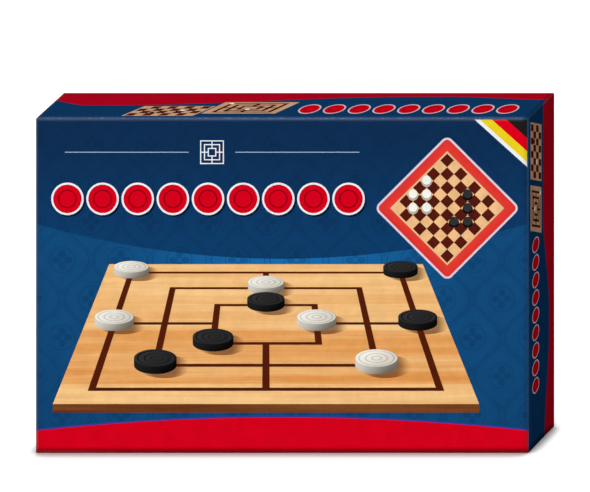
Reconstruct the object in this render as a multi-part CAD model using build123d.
from build123d import *
import os

# A boxed set for nine men's morris and draughts: a telescoping cardboard box with its formed insert,
# reversible wooden board, twenty-four men and a folded rules leaflet. All sizes are in millimetres.
#
# Every piece is drawn in the packing frame, with the box lying on its back and the cover up: X runs across
# the cover, Y up the cover and Z out of the cover, from the underside of the base at Z = 0. STAND_UP then
# turns each finished piece so that the box stands on its long edge with its cover facing -Y.

# Box: what is folded and wrapped. Its cover takes its size from the insert that it has to hold.
BOX_DEPTH = 44.0
GREYBOARD = 1.5          # solid grey board that the lid and the base are folded from
WRAP_PAPER = 0.15        # printed paper glued round the board
FOLD_RADIUS = 1.0        # outside radius of a wrapped fold
TURN_IN = 18.0           # wrap turned over the rim and glued down inside
STAY_LEG = 12.0          # corner stay tape, along each wall
STAY_TAPE = 0.1          # thickness of the tape, pressed flush into the board
STAY_END_GAP = 3.0       # bare wall beyond each end of a stay
LID_PLAY = 0.4           # lid's turned-in wrap to the base's wrap, each side
LID_SHORT = 1.0          # lid's rim stops short of the base's underside

# Reversible game board
SQUARES = 8
SQUARE = 26.0            # side of one draughts square
LIPPING = 6.0            # width of the hardwood strip round the board
BOARD_THICKNESS = 10.0
FACE_VENEER = 0.6
LIPPING_CHAMFER = 0.8

# Men
MAN_DIAMETER = 23.0
MAN_THICKNESS = 6.5
MAN_EDGE_ROUND = 0.9
GROOVE_RADII = (3.0, 5.6, 8.6)   # middle of each turned groove
GROOVE_WIDTH = 1.0
GROOVE_DEPTH = 0.5
MEN_COLUMNS = 4
MEN_ROWS = 3             # of each colour

# Folded rules leaflet
LEAFLET_WIDTH = 148.0
LEAFLET_HEIGHT = 210.0
LEAF_PAPER = 0.12
LEAF_GAP = 0.1           # air between the two leaves

# Formed plastic insert
INSERT_SHEET = 0.6
INSERT_PLAY = 0.5        # insert's skirt to the base's turned-in wrap, each side
INSERT_CORNER = 3.0
HEADROOM = 3.0           # insert's deck to the inside of the lid
BOARD_PLAY = 0.75        # board to its pocket, each side
MAN_PLAY = 0.5           # man to its pocket, radially
MAN_STAND_OUT = 1.5      # how far a seated man stands out of the deck
SIDE_DECK = 9.0          # deck from the left edge to the board's pocket, and from the men to the right edge
END_DECK = 10.5          # deck above and below the board's pocket
MIDDLE_DECK = 9.5        # deck between the board's pocket and the men's columns
COLUMN_LAND = 4.0        # deck between the pockets of neighbouring columns
ROW_LAND = 9.0           # deck between the pockets of neighbouring rows
COLOUR_LAND = 14.0       # extra deck between the white men and the black men
TIP_CHANNEL_WIDTH = 9.0  # channel under each column, for tipping a man out
TIP_CHANNEL_DROP = 2.0   # channel floor below the pockets' floor
LEAFLET_PLAY = 1.0       # leaflet to its recess, each side
LEAFLET_RECESS = 0.8     # depth of the recess under the board
FINGER_WELL_WIDTH = 34.0
FINGER_WELL_REACH = 7.5  # from the board's pocket outwards
FINGER_WELL_UNDER = 8.0  # from the board's pocket inwards, under the board
CUT_PAST = 1.0           # how far a cut runs on past the face that it opens

# Sizes that follow: the insert round its contents, the base round the insert and the lid round the base
BOARD_SIDE = SQUARES * SQUARE + 2 * LIPPING
BOARD_POCKET = BOARD_SIDE + 2 * BOARD_PLAY
MAN_POCKET_RADIUS = MAN_DIAMETER / 2 + MAN_PLAY
COLUMN_PITCH = 2 * MAN_POCKET_RADIUS + COLUMN_LAND
ROW_PITCH = 2 * MAN_POCKET_RADIUS + ROW_LAND
INSERT_WIDTH = 2 * SIDE_DECK + BOARD_POCKET + MIDDLE_DECK + MEN_COLUMNS * COLUMN_PITCH
MEN_FIELD = 2 * MEN_ROWS * ROW_PITCH + COLOUR_LAND
INSERT_HEIGHT = 2 * END_DECK + max(BOARD_POCKET, MEN_FIELD)
WALL = GREYBOARD + WRAP_PAPER
BASE_STACK = WALL + WRAP_PAPER + INSERT_PLAY
LID_STACK = WALL + WRAP_PAPER + LID_PLAY
BASE_WIDTH = INSERT_WIDTH + 2 * BASE_STACK
BASE_HEIGHT = INSERT_HEIGHT + 2 * BASE_STACK
BASE_DEPTH = BOX_DEPTH - WALL
COVER_WIDTH = BASE_WIDTH + 2 * LID_STACK
COVER_HEIGHT = BASE_HEIGHT + 2 * LID_STACK
LID_DEPTH = BOX_DEPTH - LID_SHORT
INSERT_FOOT = WALL
DECK = BASE_DEPTH - HEADROOM
BOARD_X = -INSERT_WIDTH / 2 + SIDE_DECK + BOARD_POCKET / 2
BOARD_SEAT = DECK - BOARD_THICKNESS
POCKET_CORNER = 2 * BOARD_PLAY   # small enough to clear the board's square corner
MAN_SEAT = DECK - (MAN_THICKNESS - MAN_STAND_OUT)
MEN_X = INSERT_WIDTH / 2 - SIDE_DECK - MEN_COLUMNS * COLUMN_PITCH / 2
GROUP_Y = (MEN_ROWS * ROW_PITCH + COLOUR_LAND) / 2
LEAFLET_SEAT = BOARD_SEAT - LEAFLET_RECESS

STAND_UP = Pos(0, BOX_DEPTH / 2, COVER_HEIGHT / 2) * Rot(90, 0, 0)


def block(width, height, low, high, corner=0.0, at=(0.0, 0.0)):
    """A block from Z = low to Z = high, its upright edges rounded where corner is given."""
    plan = RectangleRounded(width, height, corner) if corner else Rectangle(width, height)
    return Pos(at[0], at[1], low) * extrude(plan, high - low)


def folded_block(width, height, low, high, radius):
    """A block with its four upright folds and the four folds round its floor rounded."""
    shape = block(width, height, low, high)
    upright = shape.edges().filter_by(Axis.Z)
    floor = shape.edges().group_by(Axis.Z)[0]
    return fillet(upright + floor, radius)


def wrapped_tray(width, height, depth):
    """The three layers of a set-up box, floor down: folded board, corner stays and printed wrap."""
    rim = depth - WRAP_PAPER
    board_width = width - 2 * WRAP_PAPER
    board_height = height - 2 * WRAP_PAPER
    board_radius = FOLD_RADIUS - WRAP_PAPER
    inner_width = width - 2 * WALL
    inner_height = height - 2 * WALL

    board = folded_block(board_width, board_height, WRAP_PAPER, rim, board_radius)
    under_tape = folded_block(
        board_width - 2 * STAY_TAPE,
        board_height - 2 * STAY_TAPE,
        WRAP_PAPER + STAY_TAPE,
        rim,
        board_radius - STAY_TAPE,
    )
    corners = [
        block(2 * STAY_LEG, 2 * STAY_LEG, WRAP_PAPER + STAY_END_GAP, rim - STAY_END_GAP, at=(x, y))
        for x in (-board_width / 2, board_width / 2)
        for y in (-board_height / 2, board_height / 2)
    ]
    stays = [(board & corner) - under_tape for corner in corners]

    wrap = folded_block(width, height, 0, depth, FOLD_RADIUS) - board
    wrap -= block(inner_width, inner_height, WALL, depth - TURN_IN)
    wrap -= block(inner_width - 2 * WRAP_PAPER, inner_height - 2 * WRAP_PAPER, WALL, depth)
    board -= block(inner_width, inner_height, WALL, depth)
    for stay in stays:
        board -= stay
    return board, stays, wrap


def lid_pieces():
    """The lid is a wrapped tray turned floor up, over the base."""
    turn_over = Pos(0, 0, BOX_DEPTH) * Rot(180, 0, 0)
    board, stays, wrap = wrapped_tray(COVER_WIDTH, COVER_HEIGHT, LID_DEPTH)
    return {
        "lid_board": turn_over * board,
        "lid_corner_stays": Compound([turn_over * stay for stay in stays]),
        "lid_wrap": turn_over * wrap,
    }


def base_pieces():
    board, stays, wrap = wrapped_tray(BASE_WIDTH, BASE_HEIGHT, BASE_DEPTH)
    return {
        "base_board": board,
        "base_corner_stays": Compound(stays),
        "base_wrap": wrap,
    }


def column_x(column):
    return MEN_X + (column - (MEN_COLUMNS - 1) / 2) * COLUMN_PITCH


def men_places(row_sign):
    """Centres of one colour's men, row by row; row_sign is +1 for the upper group, -1 for the lower."""
    return [
        (
            column_x(column),
            row_sign * GROUP_Y + ((MEN_ROWS - 1) / 2 - row) * ROW_PITCH,
        )
        for row in range(MEN_ROWS)
        for column in range(MEN_COLUMNS)
    ]


def insert_cavities(grow):
    """Everything pressed down into the insert's deck, made larger all round by grow."""
    top = DECK + CUT_PAST
    pocket = BOARD_POCKET + 2 * grow
    cavities = [
        block(pocket, pocket, BOARD_SEAT - grow, top, POCKET_CORNER + grow, (BOARD_X, 0)),
        block(
            LEAFLET_WIDTH + 2 * (LEAFLET_PLAY + grow),
            LEAFLET_HEIGHT + 2 * (LEAFLET_PLAY + grow),
            LEAFLET_SEAT - grow,
            top,
            at=(BOARD_X, 0),
        ),
    ]
    well_height = FINGER_WELL_REACH + FINGER_WELL_UNDER
    well_y = BOARD_POCKET / 2 + (FINGER_WELL_REACH - FINGER_WELL_UNDER) / 2
    for side in (-1, 1):
        cavities.append(
            block(
                FINGER_WELL_WIDTH + 2 * grow,
                well_height + 2 * grow,
                INSERT_FOOT + INSERT_SHEET - grow,
                top,
                INSERT_CORNER + grow,
                (BOARD_X, side * well_y),
            )
        )
        channel_height = MEN_ROWS * ROW_PITCH + 2 * grow
        for column in range(MEN_COLUMNS):
            cavities.append(
                block(
                    TIP_CHANNEL_WIDTH + 2 * grow,
                    channel_height,
                    MAN_SEAT - TIP_CHANNEL_DROP - grow,
                    top,
                    INSERT_CORNER + grow,
                    (column_x(column), side * GROUP_Y),
                )
            )
        for x, y in men_places(side):
            low = MAN_SEAT - grow
            cavities.append(Pos(x, y, low) * extrude(Circle(MAN_POCKET_RADIUS + grow), top - low))
    return cavities


def insert_tray():
    """One thin sheet: the formed block, less the same block drawn one sheet thickness further in."""
    outside = block(INSERT_WIDTH, INSERT_HEIGHT, INSERT_FOOT, DECK, INSERT_CORNER)
    outside -= insert_cavities(0.0)
    inside = block(
        INSERT_WIDTH - 2 * INSERT_SHEET,
        INSERT_HEIGHT - 2 * INSERT_SHEET,
        INSERT_FOOT,
        DECK - INSERT_SHEET,
        INSERT_CORNER - INSERT_SHEET,
    )
    inside -= insert_cavities(INSERT_SHEET)
    return outside - inside


def lipping(side):
    """One mitred hardwood strip of the board; side counts quarter turns from the top edge."""
    half = BOARD_SIDE / 2
    inner = half - LIPPING
    mitred = Polygon((half, half), (-half, half), (-inner, inner), (inner, inner), align=None)
    strip = Pos(0, 0, BOARD_SEAT) * extrude(mitred, BOARD_THICKNESS)
    outer_edges = strip.edges().filter_by(Axis.X).group_by(Axis.Y)[-1]
    strip = chamfer(outer_edges, LIPPING_CHAMFER)
    return Pos(BOARD_X, 0, 0) * Rot(0, 0, 90 * side) * strip


def game_board_pieces():
    panel = BOARD_SIDE - 2 * LIPPING
    under = BOARD_SEAT + FACE_VENEER
    over = BOARD_SEAT + BOARD_THICKNESS - FACE_VENEER
    at = (BOARD_X, 0)
    pieces = {
        "board_core": block(panel, panel, under, over, at=at),
        "morris_face": block(panel, panel, over, over + FACE_VENEER, at=at),
        "draughts_face": block(panel, panel, BOARD_SEAT, under, at=at),
    }
    for turn, place in enumerate(("top", "left", "bottom", "right")):
        pieces[f"board_lipping_{place}"] = lipping(turn)
    return pieces


def rules_leaflet():
    """A sheet folded once at its left edge, lying in the recess under the board."""
    thickness = 2 * LEAF_PAPER + LEAF_GAP
    radius = thickness / 2
    flat = LEAFLET_WIDTH - radius
    profile = Pos(radius + flat / 2, 0) * Rectangle(flat, thickness)
    profile += Pos(radius, 0) * Circle(radius)
    inside = Pos(radius + flat / 2, 0) * Rectangle(flat, LEAF_GAP)
    inside += Pos(radius, 0) * Circle(LEAF_GAP / 2)
    section = Plane.XZ * (profile - inside)
    sheet = extrude(section, LEAFLET_HEIGHT / 2, both=True)
    return Pos(BOARD_X - LEAFLET_WIDTH / 2, 0, LEAFLET_SEAT + radius) * sheet


def man():
    """A turned disc with concentric grooves in both faces, standing on Z = 0."""
    radius = MAN_DIAMETER / 2
    section = Pos(radius / 2, MAN_THICKNESS / 2) * Rectangle(radius, MAN_THICKNESS)
    section = fillet(section.vertices().group_by(Axis.X)[-1], MAN_EDGE_ROUND)
    for groove_radius in GROOVE_RADII:
        for face in (0, MAN_THICKNESS):
            section -= Pos(groove_radius, face) * Rectangle(GROOVE_WIDTH, 2 * GROOVE_DEPTH)
    return revolve(Plane.XZ * section, Axis.Z)


def men_pieces():
    turned = man()
    pieces = {}
    for colour, row_sign in (("white", 1), ("black", -1)):
        for number, (x, y) in enumerate(men_places(row_sign), start=1):
            pieces[f"{colour}_man_{number:02d}"] = Pos(x, y, MAN_SEAT) * turned
    return pieces


def main():
    os.makedirs("parts", exist_ok=True)
    pieces = {
        **lid_pieces(),
        **base_pieces(),
        "insert_tray": insert_tray(),
        **game_board_pieces(),
        "rules_leaflet": rules_leaflet(),
        **men_pieces(),
    }
    for name, shape in pieces.items():
        export_step(STAND_UP * shape, f"parts/{name}.step")


main()
